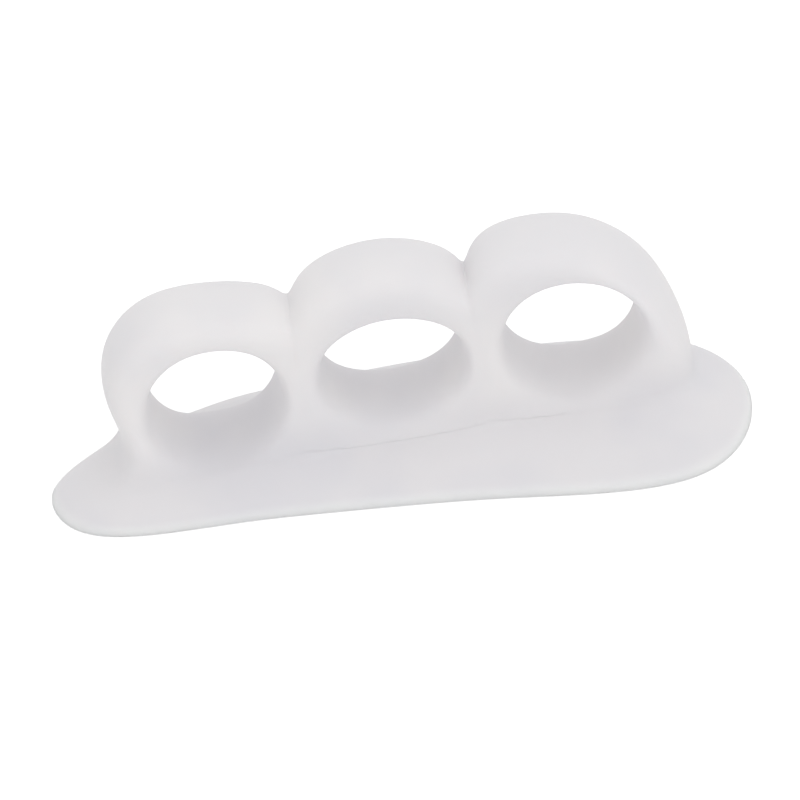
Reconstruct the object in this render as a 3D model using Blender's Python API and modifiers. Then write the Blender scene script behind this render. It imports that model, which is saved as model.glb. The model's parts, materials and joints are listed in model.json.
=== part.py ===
"""Gel toe separator, moulded in one piece.

Three round toe loops stand in a row along X on one flat sole pad. The pad lies on the XY
plane and +Z points up. The toes pass through the loops along Y. The origin is on the
underside, below the middle loop. Left and right are as seen from the front, which is -Y.
Sizes are in metres.
"""

import math

import bmesh
import bpy
import numpy as np
from mathutils import Vector

# Toe holes
LEFT_HOLE_WIDTH = 0.01535
MIDDLE_HOLE_WIDTH = 0.01675
RIGHT_HOLE_WIDTH = 0.01585
LEFT_HOLE_HEIGHT = 0.0149
MIDDLE_HOLE_HEIGHT = 0.01265
RIGHT_HOLE_HEIGHT = 0.0145
LEFT_HOLE_FLOOR = 0.00375
MIDDLE_HOLE_FLOOR = 0.00575
RIGHT_HOLE_FLOOR = 0.005
SHARED_WALL = 0.0049

# Walls over the holes
LEFT_CROWN_WALL = 0.00515
MIDDLE_CROWN_WALL = 0.00725
RIGHT_CROWN_WALL = 0.0056
LEFT_LOOP_SHOULDERS = (0.0064, 0.0054)
MIDDLE_LOOP_SHOULDERS = (0.00715, 0.0062)
RIGHT_LOOP_SHOULDERS = (0.0073, 0.00405)

# Dips between neighbouring loops
LEFT_DIP_HEIGHT = 0.0175
RIGHT_DIP_HEIGHT = 0.01745
LEFT_DIP_SHIFT = -0.0001
RIGHT_DIP_SHIFT = -0.0011
FRONT_DIP_RISE = 0.0016
MIDDLE_DIP_RISE = 0.00195

# Walls at the two ends of the row
LEFT_END_TOP = 0.00575
LEFT_END_WALL = 0.0045
LEFT_END_FOOT = 0.0055
RIGHT_END_TOP = 0.0037
RIGHT_END_WALL = 0.00625
RIGHT_END_FOOT = 0.00555

# The row of loops, from front to rear
FOOT_DEPTH = 0.0108
CROWN_DEPTH = 0.0106
ROW_MIDDLE = 0.0011
ROW_BOW = 0.0008
ROW_TURN = 3.5
FRONT_ROUNDING = 0.0016
FRONT_ROUNDING_DEPTH = 0.0034
FRONT_FOOT_FLARE = 0.0008
REAR_ROUNDING = 0.0008
REAR_ROUNDING_DEPTH = 0.0026
HOLE_FLARE = 0.0007

# Sole pad
FOOT_HEIGHT = 0.0032
FOOT_FILLET = 0.0024
RIM_HEIGHT = 0.0011
RIM_TAPER = 0.0010
LEFT_FRONT_FLANGE = 0.0057
MIDDLE_FRONT_FLANGE = 0.0083
RIGHT_FRONT_FLANGE = 0.0118
LEFT_REAR_FLANGE = 0.0053
MIDDLE_REAR_FLANGE = 0.0067
RIGHT_REAR_FLANGE = 0.00575

# Rounded ends of the pad: reach past the row, half length, half width, and place along Y
LEFT_LOBE_REACH = 0.00775
LEFT_LOBE_LENGTH = 0.01365
LEFT_LOBE_WIDTH = 0.00875
LEFT_LOBE_OFFSET = -0.00245
RIGHT_LOBE_REACH = 0.0062
RIGHT_LOBE_LENGTH = 0.0147
RIGHT_LOBE_WIDTH = 0.0143
RIGHT_LOBE_OFFSET = -0.00455
LOBE_ANGLES = (60, 20, -20, -60)
LOBE_SLANT = 0.0009

# Creases of the moulded surface, from 0 for soft to 1 for sharp
DIP_CREASE = 0.2
FOOT_CREASE = 0.3

# Cage of the subdivision surface
STEPS = 10
LEVELS = 2
WELD_DISTANCE = 0.00001
FLAT_ANGLE = 0.001

# Silicone gel
GEL_COLOUR = (0.72, 0.71, 0.72, 1.0)
GEL_ROUGHNESS = 0.5

# Sizes of the three loops, from left to right
HOLE_WIDTHS = (LEFT_HOLE_WIDTH, MIDDLE_HOLE_WIDTH, RIGHT_HOLE_WIDTH)
HOLE_HEIGHTS = (LEFT_HOLE_HEIGHT, MIDDLE_HOLE_HEIGHT, RIGHT_HOLE_HEIGHT)
HOLE_FLOORS = (LEFT_HOLE_FLOOR, MIDDLE_HOLE_FLOOR, RIGHT_HOLE_FLOOR)
CROWN_WALLS = (LEFT_CROWN_WALL, MIDDLE_CROWN_WALL, RIGHT_CROWN_WALL)
SHOULDER_WALLS = (LEFT_LOOP_SHOULDERS, MIDDLE_LOOP_SHOULDERS, RIGHT_LOOP_SHOULDERS)
DIP_HEIGHTS = (LEFT_DIP_HEIGHT, RIGHT_DIP_HEIGHT)
DIP_SHIFTS = (LEFT_DIP_SHIFT, RIGHT_DIP_SHIFT)
FRONT_FLANGES = (LEFT_FRONT_FLANGE, MIDDLE_FRONT_FLANGE, RIGHT_FRONT_FLANGE)
REAR_FLANGES = (LEFT_REAR_FLANGE, MIDDLE_REAR_FLANGE, RIGHT_REAR_FLANGE)
LOOPS = range(len(HOLE_WIDTHS))
LAST = LOOPS[-1]

# Rows of cage points, from front to rear
FRONT, BEHIND_FRONT, BEFORE_REAR, REAR = ROWS = range(4)

# Cage points around a hole, counted anticlockwise from the dip on its right
RIGHT_DIP, RIGHT_SHOULDER, CREST, LEFT_SHOULDER, LEFT_DIP = range(5)
LEFT_WALL, LEFT_FOOT, MIDDLE_FOOT, RIGHT_FOOT, RIGHT_WALL = range(5, STEPS)


def clear_scene():
    """Remove every object, so that the script can be run again."""
    for thing in list(bpy.data.objects):
        bpy.data.objects.remove(thing, do_unlink=True)


def through(points, corners=(), closed=True):
    """Return the cage points whose smooth curve passes through the given points.

    A subdivided curve passes one sixth, four sixths and one sixth between three cage
    points in a row. A corner stays where it is, and so do the ends of an open curve.
    """
    count = len(points)
    fixed = set(corners)
    if not closed:
        fixed |= {0, count - 1}
    weights = np.eye(count)
    for row in range(count):
        if row not in fixed:
            weights[row, row] = 4 / 6
            weights[row, row - 1] = 1 / 6
            weights[row, (row + 1) % count] = 1 / 6
    return np.linalg.solve(weights, np.array(points, dtype=float))


def hole_centre(index):
    """Return a hole's centre as X and Z, with the middle hole at X = 0."""
    reach = MIDDLE_HOLE_WIDTH / 2 + SHARED_WALL
    across = (-reach - LEFT_HOLE_WIDTH / 2, 0.0, reach + RIGHT_HOLE_WIDTH / 2)[index]
    return across, HOLE_FLOORS[index] + HOLE_HEIGHTS[index] / 2


def around_hole(index, step, wall=0.0):
    """Return the point a wall beyond a hole's edge, in the direction of a cage point."""
    x, z = hole_centre(index)
    angle = math.tau * (step + 1 / 2) / STEPS
    across, up = math.cos(angle), math.sin(angle)
    edge = 1 / math.hypot(2 * across / HOLE_WIDTHS[index], 2 * up / HOLE_HEIGHTS[index])
    return x + (edge + wall) * across, z + (edge + wall) * up


def side_x(index, side):
    """Return the X of a loop's side: a shared wall's middle, or the foot of an end wall."""
    x, _ = hole_centre(index)
    if side < 0:
        wall = LEFT_END_FOOT if index == 0 else SHARED_WALL / 2
    else:
        wall = RIGHT_END_FOOT if index == LAST else SHARED_WALL / 2
    return x + side * (HOLE_WIDTHS[index] / 2 + wall)


def loop_outline():
    """Return the outer cage point of each loop in each direction, as X and Z."""
    points = {}
    for index in LOOPS:
        left_shoulder, right_shoulder = SHOULDER_WALLS[index]
        points[index, LEFT_SHOULDER] = around_hole(index, LEFT_SHOULDER, left_shoulder)
        points[index, CREST] = around_hole(index, CREST, CROWN_WALLS[index])
        points[index, RIGHT_SHOULDER] = around_hole(index, RIGHT_SHOULDER, right_shoulder)
        points[index, LEFT_FOOT] = (side_x(index, -1), FOOT_HEIGHT)
        points[index, MIDDLE_FOOT] = (hole_centre(index)[0], FOOT_HEIGHT)
        points[index, RIGHT_FOOT] = (side_x(index, 1), FOOT_HEIGHT)
    points[0, LEFT_DIP] = around_hole(0, LEFT_DIP, LEFT_END_TOP)
    points[0, LEFT_WALL] = around_hole(0, LEFT_WALL, LEFT_END_WALL)
    points[LAST, RIGHT_DIP] = around_hole(LAST, RIGHT_DIP, RIGHT_END_TOP)
    points[LAST, RIGHT_WALL] = around_hole(LAST, RIGHT_WALL, RIGHT_END_WALL)
    for index, height in enumerate(DIP_HEIGHTS):
        seam = side_x(index, 1)
        low = (around_hole(index, RIGHT_WALL)[1] + around_hole(index + 1, LEFT_WALL)[1]) / 2
        points[index, RIGHT_DIP] = points[index + 1, LEFT_DIP] = (seam + DIP_SHIFTS[index], height)
        points[index, RIGHT_WALL] = points[index + 1, LEFT_WALL] = (seam, low)
    return points


def outer_chain():
    """List the cage points on the outside of the row, from the left foot to the right foot."""
    chain = [(0, LEFT_FOOT), (0, LEFT_WALL)]
    for index in LOOPS:
        chain += [(index, step) for step in (LEFT_DIP, LEFT_SHOULDER, CREST, RIGHT_SHOULDER)]
    return chain + [(LAST, step) for step in (RIGHT_DIP, RIGHT_WALL, RIGHT_FOOT)]


def arch_cage():
    """Return the outer cage points, with the arches and end walls on their true outline."""
    points = loop_outline()
    chain = outer_chain()
    dips = [place for place, (index, step) in enumerate(chain) if step == LEFT_DIP and index > 0]
    solved = through([points[key] for key in chain], corners=dips, closed=False)
    points.update(zip(chain, solved))
    return points


def rounded_outline(outline, row):
    """Return the outer cage points of one row, pulled in where the loops are rounded."""
    pull = (FRONT_ROUNDING, 0.0, 0.0, REAR_ROUNDING)[row]
    rise = (FRONT_DIP_RISE, MIDDLE_DIP_RISE, MIDDLE_DIP_RISE, 0.0)[row]
    points = dict(outline)
    for index, step in outer_chain():
        x, z = outline[index, step]
        centre_x, centre_z = hole_centre(index)
        if step == LEFT_DIP and index > 0:
            points[index, step] = (x, z + rise)
        elif step in (LEFT_FOOT, RIGHT_FOOT):
            points[index, step] = (x + math.copysign(pull, centre_x - x), z)
        else:
            share = pull / math.hypot(centre_x - x, centre_z - z)
            points[index, step] = (x + share * (centre_x - x), z + share * (centre_z - z))
    for index in range(LAST):
        points[index, RIGHT_DIP] = points[index + 1, LEFT_DIP]
    return points


def row_point(row, x, z):
    """Return a cage point of one row, from its place across the row and its height."""
    crown = max(floor + height for floor, height in zip(HOLE_FLOORS, HOLE_HEIGHTS))
    draft = (FOOT_DEPTH - CROWN_DEPTH) * (z - FOOT_HEIGHT) / (crown - FOOT_HEIGHT)
    half_depth = (FOOT_DEPTH - draft) / 2
    offset = (
        -half_depth,
        -half_depth + FRONT_ROUNDING_DEPTH,
        half_depth - REAR_ROUNDING_DEPTH,
        half_depth,
    )[row]
    if row == FRONT and abs(z - FOOT_HEIGHT) < WELD_DISTANCE:
        offset -= FRONT_FOOT_FLARE
    bow = ROW_MIDDLE - ROW_BOW * (x / side_x(LAST, 1)) ** 2
    return Vector((x + offset * math.tan(math.radians(ROW_TURN)), bow + offset, z))


def hole_points(index, row):
    """Return the cage points on a hole's edge in one row, which flares at the front."""
    flare = HOLE_FLARE if row == FRONT else 0.0
    edge = through([around_hole(index, step, flare) for step in range(STEPS)])
    return [row_point(row, x, z) for x, z in edge]


def loop_points(index, row, outline):
    """Return the cage points on a loop's outline in one row."""
    return [row_point(row, *outline[index, step]) for step in range(STEPS)]


def move(verts, old_points, new_points):
    """Move each point from its old place to its new one."""
    for vert in verts:
        place = min(range(len(old_points)), key=lambda n: (vert.co - old_points[n]).length)
        vert.co = new_points[place]


def grow_ring(mesh, edges, old_points, new_points):
    """Extrude a ring of edges, and move its points from their old places to new ones."""
    grown = bmesh.ops.extrude_edge_only(mesh, edges=edges)["geom"]
    move([part for part in grown if isinstance(part, bmesh.types.BMVert)], old_points, new_points)
    return [part for part in grown if isinstance(part, bmesh.types.BMEdge) and part.is_boundary]


def add_loop(mesh, index, outline):
    """Add a circle on the front edge of a hole, and grow it to the loop's outline."""
    edge = hole_points(index, FRONT)
    circle = bmesh.ops.create_circle(mesh, segments=STEPS, radius=HOLE_WIDTHS[index] / 2)["verts"]
    for vert, point in zip(circle, edge):
        vert.co = point
    ring = list({link for vert in circle for link in vert.link_edges})
    grow_ring(mesh, ring, edge, loop_points(index, FRONT, outline))


def extrude_row(mesh, outlines):
    """Extrude the sheet of loops from its front to its rear, and open its underside."""
    places = []
    for row in ROWS:
        points = [point for index in LOOPS for point in hole_points(index, row)]
        points += [point for index in LOOPS for point in loop_points(index, row, outlines[row])]
        places.append(points)
    faces = mesh.faces[:]
    for row in ROWS[1:]:
        grown = bmesh.ops.extrude_face_region(mesh, geom=faces)["geom"]
        if row > BEHIND_FRONT:
            bmesh.ops.delete(mesh, geom=faces, context="FACES")
        faces = [part for part in grown if isinstance(part, bmesh.types.BMFace)]
        verts = [part for part in grown if isinstance(part, bmesh.types.BMVert)]
        move(verts, places[row - 1], places[row])
    under = [face for face in mesh.faces if all(at_height(vert, FOOT_HEIGHT) for vert in face.verts)]
    bmesh.ops.delete(mesh, geom=under, context="FACES")


def at_height(vert, height):
    """Tell whether a cage point lies at a height."""
    return abs(vert.co.z - height) < WELD_DISTANCE


def foot_ring(outlines):
    """Return the foot of the row anticlockwise from above, starting at its front left corner."""
    columns = [(0, LEFT_FOOT)]
    for index in LOOPS:
        columns += [(index, MIDDLE_FOOT), (index, RIGHT_FOOT)]
    stations = [(FRONT, key) for key in columns]
    stations += [(BEHIND_FRONT, columns[-1]), (BEFORE_REAR, columns[-1])]
    stations += [(REAR, key) for key in reversed(columns)]
    stations += [(BEFORE_REAR, columns[0]), (BEHIND_FRONT, columns[0])]
    return [row_point(row, *outlines[row][key]) for row, key in stations]


def flange_width(widths, x):
    """Return the width of a flange at X, from its widths at the three holes."""
    centres = [hole_centre(index)[0] for index in LOOPS]
    return np.polyval(np.polyfit(centres, widths, 2), x)


def lobe(side, reach, length, width, offset):
    """Return points on the rounded end of the pad, from its rear to its front."""
    index = 0 if side < 0 else LAST
    middle = side_x(index, side) + side * (reach - length)
    points = []
    for angle in LOBE_ANGLES:
        across, back = math.cos(math.radians(angle)), math.sin(math.radians(angle))
        points.append((middle + side * (length * across + LOBE_SLANT * back), offset + width * back))
    return points


def rim_ring(foot):
    """Return the pad's outline on the ground, one point for each point of the foot ring."""
    left = lobe(-1, LEFT_LOBE_REACH, LEFT_LOBE_LENGTH, LEFT_LOBE_WIDTH, LEFT_LOBE_OFFSET)
    right = lobe(1, RIGHT_LOBE_REACH, RIGHT_LOBE_LENGTH, RIGHT_LOBE_WIDTH, RIGHT_LOBE_OFFSET)
    half = len(foot) // 2
    between = half - len(LOBE_ANGLES)
    front_foot = foot[1:1 + between]
    rear_foot = foot[half + 1:half + 1 + between]
    front = [(p.x, p.y - flange_width(FRONT_FLANGES, p.x)) for p in front_foot]
    rear = [(p.x, p.y + flange_width(REAR_FLANGES, p.x)) for p in rear_foot]
    outline = through([left[-1]] + front + right[::-1] + rear + left[:-1])
    return [Vector((x, y, 0)) for x, y in outline]


def add_pad(mesh, outlines):
    """Grow the pad from the foot of the row: its fillet, its tapered rim and its underside."""
    foot = foot_ring(outlines)
    rim = rim_ring(foot)
    edge, fillet = [], []
    for inner, outer in zip(foot, rim):
        outward = (outer - inner).xy.normalized().to_3d()
        top = outer - outward * RIM_TAPER + Vector((0, 0, RIM_HEIGHT))
        edge.append(top)
        fillet.append(inner.lerp(top, FOOT_FILLET / (top - inner).length))
    ring = [link for link in mesh.edges if link.is_boundary]
    for old_points, new_points in ((foot, fillet), (fillet, edge), (edge, rim)):
        ring = grow_ring(mesh, ring, old_points, new_points)
    bmesh.ops.edgeloop_fill(mesh, edges=ring)


def joins(link, points):
    """Tell whether both ends of an edge are among the given places."""
    return all(min((vert.co - point).length for point in points) < WELD_DISTANCE for vert in link.verts)


def crease(mesh, outlines):
    """Keep the rim's lower edge sharp, and the dips and the front of the foot crisp."""
    layer = mesh.edges.layers.float.new("crease_edge")
    behind = (BEHIND_FRONT, BEFORE_REAR, REAR)
    dips = [row_point(row, *outlines[row][index, RIGHT_DIP]) for index in range(LAST) for row in behind]
    foot_keys = [(0, RIGHT_FOOT), (1, MIDDLE_FOOT), (1, RIGHT_FOOT), (LAST, MIDDLE_FOOT)]
    front_foot = [row_point(FRONT, *outlines[FRONT][key]) for key in foot_keys]
    for link in mesh.edges:
        if all(at_height(vert, 0) for vert in link.verts):
            link[layer] = 1.0
        elif joins(link, dips):
            link[layer] = DIP_CREASE
        elif joins(link, front_foot):
            link[layer] = FOOT_CREASE


def silicone_gel():
    """Return the pale translucent gel as a material."""
    material = bpy.data.materials.new("silicone_gel")
    material.use_nodes = True
    shader = material.node_tree.nodes["Principled BSDF"]
    shader.inputs["Base Color"].default_value = GEL_COLOUR
    shader.inputs["Roughness"].default_value = GEL_ROUGHNESS
    shader.inputs["Metallic"].default_value = 0.0
    material.diffuse_color = GEL_COLOUR
    return material


def build():
    """Model the toe separator from its cage."""
    clear_scene()
    group = bpy.data.collections.new("toe_separator")
    bpy.context.scene.collection.children.link(group)

    cage = bmesh.new()
    outline = arch_cage()
    outlines = [rounded_outline(outline, row) for row in ROWS]
    for index in LOOPS:
        add_loop(cage, index, outlines[FRONT])
    bmesh.ops.remove_doubles(cage, verts=cage.verts, dist=WELD_DISTANCE)
    extrude_row(cage, outlines)
    add_pad(cage, outlines)
    bmesh.ops.recalc_face_normals(cage, faces=cage.faces)
    crease(cage, outlines)

    mesh = bpy.data.meshes.new("gel_body")
    cage.to_mesh(mesh)
    cage.free()
    mesh.shade_smooth()
    mesh.materials.append(silicone_gel())
    body = bpy.data.objects.new("gel_body", mesh)
    group.objects.link(body)

    smooth = body.modifiers.new("moulded surface", "SUBSURF")
    smooth.levels = LEVELS
    smooth.render_levels = LEVELS
    flat = body.modifiers.new("flat underside", "DECIMATE")
    flat.decimate_type = "DISSOLVE"
    flat.angle_limit = FLAT_ANGLE


build()
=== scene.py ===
"""Gel toe separator: the finished gel body and a pale studio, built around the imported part."""

import json
import math

import bpy
from bpy.props import FloatProperty, FloatVectorProperty, IntProperty, PointerProperty
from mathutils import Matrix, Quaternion, Vector

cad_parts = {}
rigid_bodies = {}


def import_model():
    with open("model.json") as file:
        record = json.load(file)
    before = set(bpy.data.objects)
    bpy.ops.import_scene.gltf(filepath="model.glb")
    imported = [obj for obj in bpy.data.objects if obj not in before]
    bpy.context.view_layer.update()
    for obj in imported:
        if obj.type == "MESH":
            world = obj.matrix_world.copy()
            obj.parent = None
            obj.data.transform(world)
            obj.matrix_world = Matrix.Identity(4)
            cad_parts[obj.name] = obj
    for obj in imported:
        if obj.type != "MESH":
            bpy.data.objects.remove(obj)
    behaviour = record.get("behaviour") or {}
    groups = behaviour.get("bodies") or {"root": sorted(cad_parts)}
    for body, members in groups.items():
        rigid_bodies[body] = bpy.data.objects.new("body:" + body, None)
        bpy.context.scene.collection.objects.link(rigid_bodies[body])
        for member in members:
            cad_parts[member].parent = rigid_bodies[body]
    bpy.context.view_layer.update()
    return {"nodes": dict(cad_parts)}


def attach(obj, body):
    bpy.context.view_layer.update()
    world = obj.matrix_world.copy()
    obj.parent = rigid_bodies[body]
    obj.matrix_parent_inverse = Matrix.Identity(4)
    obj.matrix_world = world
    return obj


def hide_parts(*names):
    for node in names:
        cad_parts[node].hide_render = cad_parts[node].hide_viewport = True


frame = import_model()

bl_info = {
    "name": "Toe separator",
    "version": (1, 0, 0),
    "blender": (4, 5, 0),
    "location": "3D View > Sidebar > Toe separator",
    "description": "Models the gel body of a toe separator and sets up its studio",
    "category": "Add Mesh",
}

CAD_NODE = "gel_body"
QUAD_ANGLE = math.radians(60)
FOLD_WEIGHT = 0.99  # only points on the fold's own line weigh more
SHADED_BELOW, CLEAR_ABOVE = 0.35, 0.65  # noise values between which a cloud thins out


class BodySettings(bpy.types.PropertyGroup):
    """Sizes of the moulded gel surface."""

    merge_distance: FloatProperty(
        name="Merge distance",
        description="Points of the copied solid closer than this are one",
        default=0.000001,
        unit="LENGTH",
    )
    rim_angle: FloatProperty(
        name="Rim angle",
        description="Edges sharper than this stay sharp, as the lower edge of the pad does",
        default=math.radians(50),
        subtype="ANGLE",
    )
    fineness: IntProperty(
        name="Fineness",
        description="Times that the surface is subdivided",
        default=2,
        min=0,
        max=2,
    )
    fold_start: FloatVectorProperty(
        name="Fold start",
        description="Where the faint fold along the front foot of the loops begins",
        default=(-0.0106, -0.0053, 0.0034),
        size=3,
        subtype="XYZ_LENGTH",
    )
    fold_end: FloatVectorProperty(
        name="Fold end",
        description="Where the fold ends, under the right loop",
        default=(0.0180, -0.0054, 0.0034),
        size=3,
        subtype="XYZ_LENGTH",
    )
    fold_depth: FloatProperty(
        name="Fold depth",
        description="How deep the fold goes into the gel",
        default=0.0001,
        unit="LENGTH",
    )


class GelSettings(bpy.types.PropertyGroup):
    """Colours and finish of the silicone gel, with painted light on its rim and painted shade low down.
    """

    loop_tint: FloatVectorProperty(
        name="Loop tint",
        description="Colour of the thick gel of the toe loops",
        default=(0.868, 0.85, 0.854),
        size=3,
        subtype="COLOR",
    )
    # Painted shade: the pad and the gel low down are drawn darker than the loops, for how light falls
    # there, not for a colour of the gel.
    pad_painted_shade: FloatVectorProperty(
        name="Pad painted shade",
        description="Colour of the pad, where less gel scatters the light",
        default=(0.815, 0.80, 0.815),
        size=3,
        subtype="COLOR",
    )
    # Painted light: the thin rim at the sole is drawn lighter than the gel, for light that passes
    # through it, not for a colour of the gel.
    rim_painted_light: FloatVectorProperty(
        name="Rim painted light",
        description="Colour of the thin rim, where the white floor shines through",
        default=(0.93, 0.925, 0.925),
        size=3,
        subtype="COLOR",
    )
    # These heights place the painted light on the rim and the painted shade on the pad and low walls.
    rim_light_height: FloatProperty(
        name="Rim height",
        description="Height above the sole at which the rim's tint has given way to the pad's",
        default=0.0011,
        unit="LENGTH",
    )
    pad_shade_height: FloatProperty(
        name="Pad height",
        description="Height above the sole up to which the gel has the pad's tint",
        default=0.0035,
        unit="LENGTH",
    )
    shade_end_height: FloatProperty(
        name="Loop height",
        description="Height above the sole from which the gel has the loops' tint",
        default=0.009,
        unit="LENGTH",
    )
    cloud_shade: FloatVectorProperty(
        name="Cloud shade",
        description="How the faintly greyer clouds in the gel darken it",
        default=(0.955, 0.96, 0.975),
        size=3,
        subtype="COLOR",
    )
    cloud_size: FloatProperty(
        name="Cloud size",
        description="Size of the soft clouds in the gel",
        default=0.014,
        unit="LENGTH",
    )
    grain_size: FloatProperty(
        name="Grain size",
        description="Size of the mould's matt grain",
        default=0.00035,
        unit="LENGTH",
    )
    grain_depth: FloatProperty(
        name="Grain depth",
        description="Depth of the mould's matt grain",
        default=0.000006,
        unit="LENGTH",
    )
    glow_depth: FloatProperty(
        name="Glow depth",
        description="How far light spreads inside the gel",
        default=0.001,
        unit="LENGTH",
    )
    glow_share: FloatProperty(
        name="Glow share",
        description="Share of the light that spreads inside the gel",
        default=0.7,
        subtype="FACTOR",
    )
    glow_reach: FloatVectorProperty(
        name="Glow reach",
        description="How far red, green and blue light spread, as shares of the glow depth",
        default=(1.0, 0.95, 0.95),
        size=3,
    )
    least_roughness: FloatProperty(
        name="Least roughness",
        description="Roughness of the gel where it is smoothest",
        default=0.56,
        subtype="FACTOR",
    )
    most_roughness: FloatProperty(
        name="Most roughness",
        description="Roughness of the gel where it is most matt",
        default=0.66,
        subtype="FACTOR",
    )
    shine: FloatProperty(
        name="Shine",
        description="Strength of the reflection at the gel's surface",
        default=0.3,
        subtype="FACTOR",
    )
    refraction: FloatProperty(
        name="Refraction",
        description="Index of refraction of silicone",
        default=1.41,
    )


class StudioSettings(bpy.types.PropertyGroup):
    """Camera, floor and lights."""

    azimuth: FloatProperty(
        name="Azimuth",
        description="Camera's turn round the part from the front, to the right",
        default=math.radians(-3.37),
        subtype="ANGLE",
    )
    elevation: FloatProperty(
        name="Elevation",
        description="Camera's height angle above the floor",
        default=math.radians(38.0),
        subtype="ANGLE",
    )
    roll: FloatProperty(
        name="Roll",
        description="Camera's turn about its own axis, clockwise",
        default=math.radians(7.73),
        subtype="ANGLE",
    )
    distance: FloatProperty(
        name="Distance",
        description="From the camera to the point that it looks at",
        default=0.893,
        unit="LENGTH",
    )
    lens: FloatProperty(
        name="Lens",
        description="Focal length, in millimetres",
        default=346.5,
        unit="CAMERA",
    )
    aim_height: FloatProperty(
        name="Aim height",
        description="Height above the origin of the point that the view is framed on",
        default=0.010,
        unit="LENGTH",
    )
    aim_right: FloatProperty(
        name="Aim right",
        description="From that point to the middle of the picture, along the picture's width",
        default=0.00079,
        unit="LENGTH",
    )
    aim_down: FloatProperty(
        name="Aim down",
        description="From that point to the middle of the picture, down the picture",
        default=0.00382,
        unit="LENGTH",
    )
    floor_size: FloatProperty(
        name="Floor size",
        description="Side of the square floor",
        default=4.0,
        unit="LENGTH",
    )
    floor_gap: FloatProperty(
        name="Floor gap",
        description="Gap that keeps the floor clear of the sole",
        default=0.0001,
        unit="LENGTH",
    )
    floor_colour: FloatVectorProperty(
        name="Floor colour",
        description="Colour of the floor",
        default=(0.93, 0.93, 0.93),
        size=3,
        subtype="COLOR",
    )
    floor_lift: FloatProperty(
        name="Floor lift",
        description="Brightness that the floor shows of itself",
        default=0.35,
    )
    sky_strength: FloatProperty(
        name="Sky strength",
        description="Light from all around",
        default=0.74,
    )
    lamp_size: FloatProperty(
        name="Lamp size",
        description="Side of each square soft light",
        default=0.9,
        unit="LENGTH",
    )
    key_place: FloatVectorProperty(
        name="Key place",
        description="Where the light above the part stands",
        default=(0.15, -0.1, 1.0),
        size=3,
        subtype="XYZ_LENGTH",
    )
    key_power: FloatProperty(
        name="Key power",
        description="Power of the light above the part, in watts",
        default=2.0,
        unit="POWER",
    )
    fill_place: FloatVectorProperty(
        name="Fill place",
        description="Where the low light in front of the part stands",
        default=(0.2, -1.0, 0.2),
        size=3,
        subtype="XYZ_LENGTH",
    )
    fill_power: FloatProperty(
        name="Fill power",
        description="Power of the low light in front of the part, in watts",
        default=1.4,
        unit="POWER",
    )


def deselect():
    """Leave nothing selected."""
    for thing in bpy.context.view_layer.objects:
        thing.select_set(False)


def make_active(piece):
    """Select one object alone and make it the active one."""
    deselect()
    piece.select_set(True)
    bpy.context.view_layer.objects.active = piece


def select_points(piece, chosen):
    """Select some points of a piece alone, with the edges between them."""
    mesh = piece.data
    bpy.context.tool_settings.mesh_select_mode = (True, False, False)
    for kind in (mesh.vertices, mesh.edges, mesh.polygons):
        kind.foreach_set("select", [False] * len(kind))
    chosen = set(chosen)
    for index in chosen:
        mesh.vertices[index].select = True
    for edge in mesh.edges:
        edge.select = chosen.issuperset(edge.vertices)


def new_material(name):
    """Return a new material with its node tree, Principled shader and output."""
    material = bpy.data.materials.new(name)
    material.use_nodes = True
    nodes = material.node_tree.nodes
    return material, material.node_tree, nodes["Principled BSDF"]


def add_node(tree, kind, place, **values):
    """Add a node at a place, with values for its named inputs."""
    node = tree.nodes.new(kind)
    node.location = place
    for name, value in values.items():
        node.inputs[name.replace("_", " ")].default_value = value
    return node


def add_ramp(tree, place, stops):
    """Add a smooth colour ramp with a colour at each position."""
    ramp = add_node(tree, "ShaderNodeValToRGB", place)
    ramp.color_ramp.interpolation = "EASE"
    elements = ramp.color_ramp.elements
    while len(elements) < len(stops):
        elements.new(0.5)
    for element, (position, colour) in zip(elements, sorted(stops.items())):
        element.position = position
        element.color = (*colour, 1)
    return ramp


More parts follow.
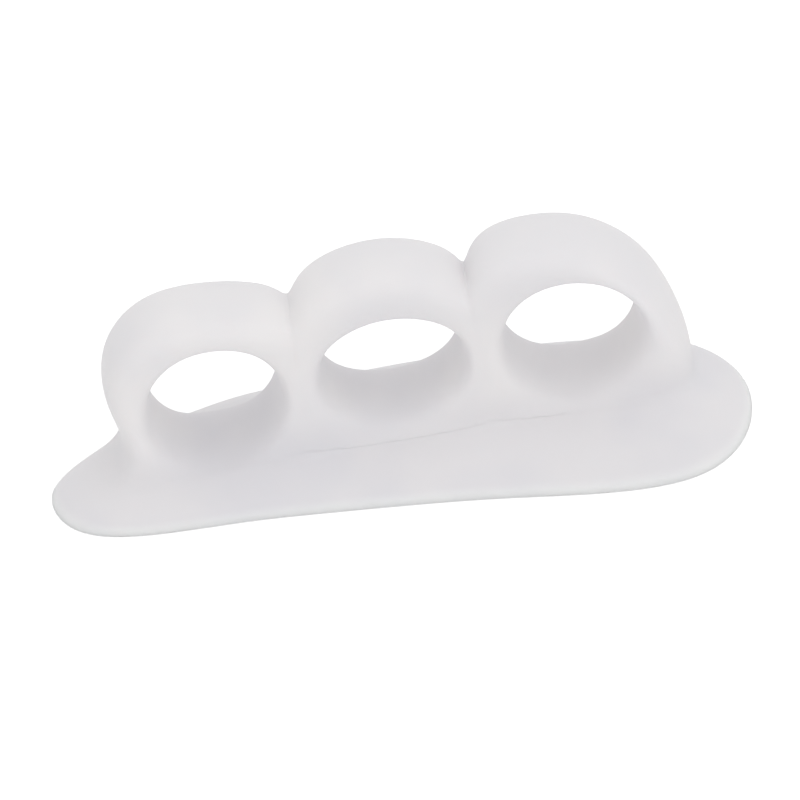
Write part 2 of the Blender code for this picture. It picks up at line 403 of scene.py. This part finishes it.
def gel_material(settings):
    """Return the milky gel: painted light on the rim and painted shade low down by height, soft clouds,
    a matt grain and light spread inside it.
    """
    material, tree, shader = new_material("silicone_gel_with_painted_light_and_shade")
    link = tree.links.new
    place = add_node(tree, "ShaderNodeTexCoord", (-1200, 0))

    clouds = add_node(tree, "ShaderNodeTexNoise", (-900, 200), Detail=2.0, Roughness=0.5)
    clouds.inputs["Scale"].default_value = 1 / settings.cloud_size
    link(place.outputs["Object"], clouds.inputs["Vector"])
    shade = add_ramp(tree, (-600, 200), {SHADED_BELOW: settings.cloud_shade, CLEAR_ABOVE: (1, 1, 1)})
    link(clouds.outputs["Fac"], shade.inputs["Fac"])

    parts = add_node(tree, "ShaderNodeSeparateXYZ", (-900, 500))
    link(place.outputs["Object"], parts.inputs["Vector"])
    height = add_node(tree, "ShaderNodeMapRange", (-750, 500), From_Max=settings.shade_end_height)
    link(parts.outputs["Z"], height.inputs["Value"])
    # Painted light and shade by height: lighter at the very rim, darker over the pad and fading out up
    # the low walls, the gel's own colour above.
    tint = add_ramp(tree, (-600, 500), {
        0.0: settings.rim_painted_light,
        settings.rim_light_height / settings.shade_end_height: settings.pad_painted_shade,
        settings.pad_shade_height / settings.shade_end_height: settings.pad_painted_shade,
        1.0: settings.loop_tint,
    })
    link(height.outputs["Result"], tint.inputs["Fac"])

    colour = add_node(tree, "ShaderNodeMix", (-300, 350), Factor=1.0)
    colour.data_type = "RGBA"
    colour.blend_type = "MULTIPLY"
    link(tint.outputs["Color"], colour.inputs["A"])
    link(shade.outputs["Color"], colour.inputs["B"])
    link(colour.outputs["Result"], shader.inputs["Base Color"])

    grain = add_node(tree, "ShaderNodeTexNoise", (-900, -250), Detail=3.0, Roughness=0.6)
    grain.inputs["Scale"].default_value = 1 / settings.grain_size
    link(place.outputs["Object"], grain.inputs["Vector"])
    bump = add_node(tree, "ShaderNodeBump", (-300, -250), Strength=1.0)
    bump.inputs["Distance"].default_value = settings.grain_depth
    link(grain.outputs["Fac"], bump.inputs["Height"])
    link(bump.outputs["Normal"], shader.inputs["Normal"])

    matt = add_node(
        tree, "ShaderNodeMapRange", (-600, -50),
        To_Min=settings.least_roughness, To_Max=settings.most_roughness,
    )
    link(clouds.outputs["Fac"], matt.inputs["Value"])
    link(matt.outputs["Result"], shader.inputs["Roughness"])

    shader.inputs["IOR"].default_value = settings.refraction
    shader.inputs["Specular IOR Level"].default_value = settings.shine
    shader.inputs["Subsurface Weight"].default_value = settings.glow_share
    shader.inputs["Subsurface Radius"].default_value = settings.glow_reach
    shader.inputs["Subsurface Scale"].default_value = settings.glow_depth
    return material


def seen_by_rays(tree, light_path, strength):
    """Return a node that gives a strength to camera, glossy and transmission rays, and 0 to others."""
    camera_or_glossy = add_node(tree, "ShaderNodeMath", (-650, 100))
    camera_or_glossy.operation = "MAXIMUM"
    tree.links.new(light_path.outputs["Is Camera Ray"], camera_or_glossy.inputs[0])
    tree.links.new(light_path.outputs["Is Glossy Ray"], camera_or_glossy.inputs[1])
    any_seen = add_node(tree, "ShaderNodeMath", (-450, 100))
    any_seen.operation = "MAXIMUM"
    tree.links.new(camera_or_glossy.outputs["Value"], any_seen.inputs[0])
    tree.links.new(light_path.outputs["Is Transmission Ray"], any_seen.inputs[1])
    scaled = add_node(tree, "ShaderNodeMath", (-250, 100))
    scaled.operation = "MULTIPLY"
    scaled.inputs[1].default_value = strength
    tree.links.new(any_seen.outputs["Value"], scaled.inputs[0])
    return scaled


def floor_material(settings):
    """Return the pale floor, which shows the camera some brightness of its own and keeps shadows."""
    material, tree, shader = new_material("studio_floor")
    shader.inputs["Base Color"].default_value = (*settings.floor_colour, 1)
    shader.inputs["Roughness"].default_value = 0.9
    shader.inputs["Specular IOR Level"].default_value = 0.0
    shader.inputs["Emission Color"].default_value = (1, 1, 1, 1)
    seen = add_node(tree, "ShaderNodeLightPath", (-900, 100))
    lift = seen_by_rays(tree, seen, settings.floor_lift)
    tree.links.new(lift.outputs["Value"], shader.inputs["Emission Strength"])
    return material


class TOESEP_OT_gel_body(bpy.types.Operator):
    """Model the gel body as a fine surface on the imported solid, with the fold along its foot"""

    bl_idname = "toesep.gel_body"
    bl_label = "Gel body"

    def execute(self, context):
        sizes = context.scene.toesep_body
        node = frame["nodes"][CAD_NODE]
        piece = bpy.data.objects.new("moulded_gel_body", node.data.copy())
        context.scene.collection.objects.link(piece)
        make_active(piece)

        bpy.ops.object.mode_set(mode="EDIT")
        bpy.ops.mesh.select_all(action="SELECT")
        bpy.ops.mesh.remove_doubles(threshold=sizes.merge_distance)
        bpy.ops.mesh.tris_convert_to_quads(face_threshold=QUAD_ANGLE, shape_threshold=QUAD_ANGLE)
        bpy.ops.mesh.select_all(action="DESELECT")
        bpy.ops.mesh.select_mode(type="EDGE")
        bpy.ops.mesh.edges_select_sharp(sharpness=sizes.rim_angle)
        bpy.ops.transform.edge_crease(value=1.0)
        bpy.ops.object.mode_set(mode="OBJECT")
        self.find_fold(piece, sizes)

        smooth = piece.modifiers.new("fine surface", "SUBSURF")
        smooth.levels = sizes.fineness
        smooth.render_levels = sizes.fineness
        bpy.ops.object.modifier_apply(modifier=smooth.name)
        self.press_fold(piece, sizes)
        bpy.ops.object.shade_smooth_by_angle(angle=sizes.rim_angle)

        piece.data.materials.clear()
        piece.data.materials.append(gel_material(context.scene.toesep_gel))
        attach(piece, "root")
        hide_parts(CAD_NODE)
        return {"FINISHED"}

    def find_fold(self, piece, sizes):
        """Put the points of the fold into a vertex group: the shortest way along the front foot."""
        points = piece.data.vertices
        ends = [
            min(points, key=lambda point: (point.co - Vector(place)).length).index
            for place in (sizes.fold_start, sizes.fold_end)
        ]
        select_points(piece, ends)
        bpy.ops.object.mode_set(mode="EDIT")
        bpy.ops.mesh.shortest_path_select()
        bpy.ops.object.mode_set(mode="OBJECT")
        fold = [point.index for point in piece.data.vertices if point.select]
        piece.vertex_groups.new(name="fold").add(fold, 1.0, "REPLACE")

    def press_fold(self, piece, sizes):
        """Press the fold into the fine surface."""
        fold = [
            point.index for point in piece.data.vertices
            if any(group.weight > FOLD_WEIGHT for group in point.groups)
        ]
        if not fold:
            raise RuntimeError("the fold's row of points was not found")
        select_points(piece, fold)
        bpy.ops.object.mode_set(mode="EDIT")
        bpy.ops.transform.shrink_fatten(value=-sizes.fold_depth)
        bpy.ops.object.mode_set(mode="OBJECT")
        bpy.ops.object.vertex_group_remove(all=True)


class TOESEP_OT_studio(bpy.types.Operator):
    """Set up the floor, the lights and the camera"""

    bl_idname = "toesep.studio"
    bl_label = "Studio"

    def execute(self, context):
        studio = context.scene.toesep_studio
        deselect()
        bpy.ops.mesh.primitive_plane_add(size=studio.floor_size, location=(0, 0, -studio.floor_gap))
        floor = context.active_object
        floor.name = "floor"
        bpy.ops.object.transform_apply(location=True, rotation=True, scale=True)
        floor.data.materials.append(floor_material(studio))
        self.light_sky(context.scene, studio)
        self.light_part(studio)
        self.place_camera(context.scene, studio)
        context.scene.view_settings.view_transform = "Standard"
        return {"FINISHED"}

    def light_sky(self, scene, studio):
        """Light the part evenly from all around, against a white background."""
        world = bpy.data.worlds.new("white studio")
        scene.world = world
        world.use_nodes = True
        tree = world.node_tree
        sky = tree.nodes["Background"]
        sky.inputs["Color"].default_value = (1, 1, 1, 1)
        seen = add_node(tree, "ShaderNodeLightPath", (-900, 100))
        extra = seen_by_rays(tree, seen, 1 - studio.sky_strength)
        total = add_node(tree, "ShaderNodeMath", (-50, 100))
        total.operation = "ADD"
        total.inputs[1].default_value = studio.sky_strength
        tree.links.new(extra.outputs["Value"], total.inputs[0])
        tree.links.new(total.outputs["Value"], sky.inputs["Strength"])

    def light_part(self, studio):
        """Add a large soft light above the part and a low one in front of it."""
        self.add_lamp("soft key", Vector(studio.key_place), studio.key_power, studio.lamp_size)
        self.add_lamp("soft fill", Vector(studio.fill_place), studio.fill_power, studio.lamp_size)

    def add_lamp(self, name, place, power, size):
        """Add one square soft light that faces the part."""
        bpy.ops.object.light_add(type="AREA", location=place)
        lamp = bpy.context.active_object
        lamp.name = name
        lamp.rotation_euler = (-place).to_track_quat("-Z", "Y").to_euler()
        lamp.data.shape = "SQUARE"
        lamp.data.size = size
        lamp.data.energy = power

    def place_camera(self, scene, studio):
        """Look at the part as the photograph does."""
        towards = Vector((
            math.sin(studio.azimuth) * math.cos(studio.elevation),
            -math.cos(studio.azimuth) * math.cos(studio.elevation),
            math.sin(studio.elevation),
        ))
        turn = (-towards).to_track_quat("-Z", "Y") @ Quaternion((0, 0, 1), -studio.roll)
        aim = Vector((0, 0, studio.aim_height)) + turn @ Vector((studio.aim_right, -studio.aim_down, 0))
        bpy.ops.object.camera_add(location=aim + towards * studio.distance, rotation=turn.to_euler())
        camera = bpy.context.active_object
        camera.name = "photograph's view"
        camera.data.lens = studio.lens
        scene.camera = camera


class TOESEP_PT_panel(bpy.types.Panel):
    """Buttons for the toe separator, in the sidebar"""

    bl_idname = "TOESEP_PT_panel"
    bl_label = "Toe separator"
    bl_space_type = "VIEW_3D"
    bl_region_type = "UI"
    bl_category = "Toe separator"

    def draw(self, context):
        for group in SETTINGS:
            settings = getattr(context.scene, group)
            box = self.layout.box()
            for name in settings.bl_rna.properties.keys():
                if name not in ("rna_type", "name"):
                    box.prop(settings, name)
        for operator in STEPS:
            self.layout.operator(operator.bl_idname)


SETTINGS = {
    "toesep_body": BodySettings,
    "toesep_gel": GelSettings,
    "toesep_studio": StudioSettings,
}
STEPS = (TOESEP_OT_gel_body, TOESEP_OT_studio)


def register():
    """Register the settings, operators and panel."""
    for name, settings in SETTINGS.items():
        bpy.utils.register_class(settings)
        setattr(bpy.types.Scene, name, PointerProperty(type=settings))
    for step in STEPS:
        bpy.utils.register_class(step)
    bpy.utils.register_class(TOESEP_PT_panel)


def unregister():
    """Take away the panel, operators and settings."""
    bpy.utils.unregister_class(TOESEP_PT_panel)
    for step in reversed(STEPS):
        bpy.utils.unregister_class(step)
    for name, settings in reversed(SETTINGS.items()):
        delattr(bpy.types.Scene, name)
        bpy.utils.unregister_class(settings)


def main():
    """Build the piece and the studio."""
    register()
    bpy.ops.toesep.gel_body()
    bpy.ops.toesep.studio()


if __name__ == "__main__":
    main()
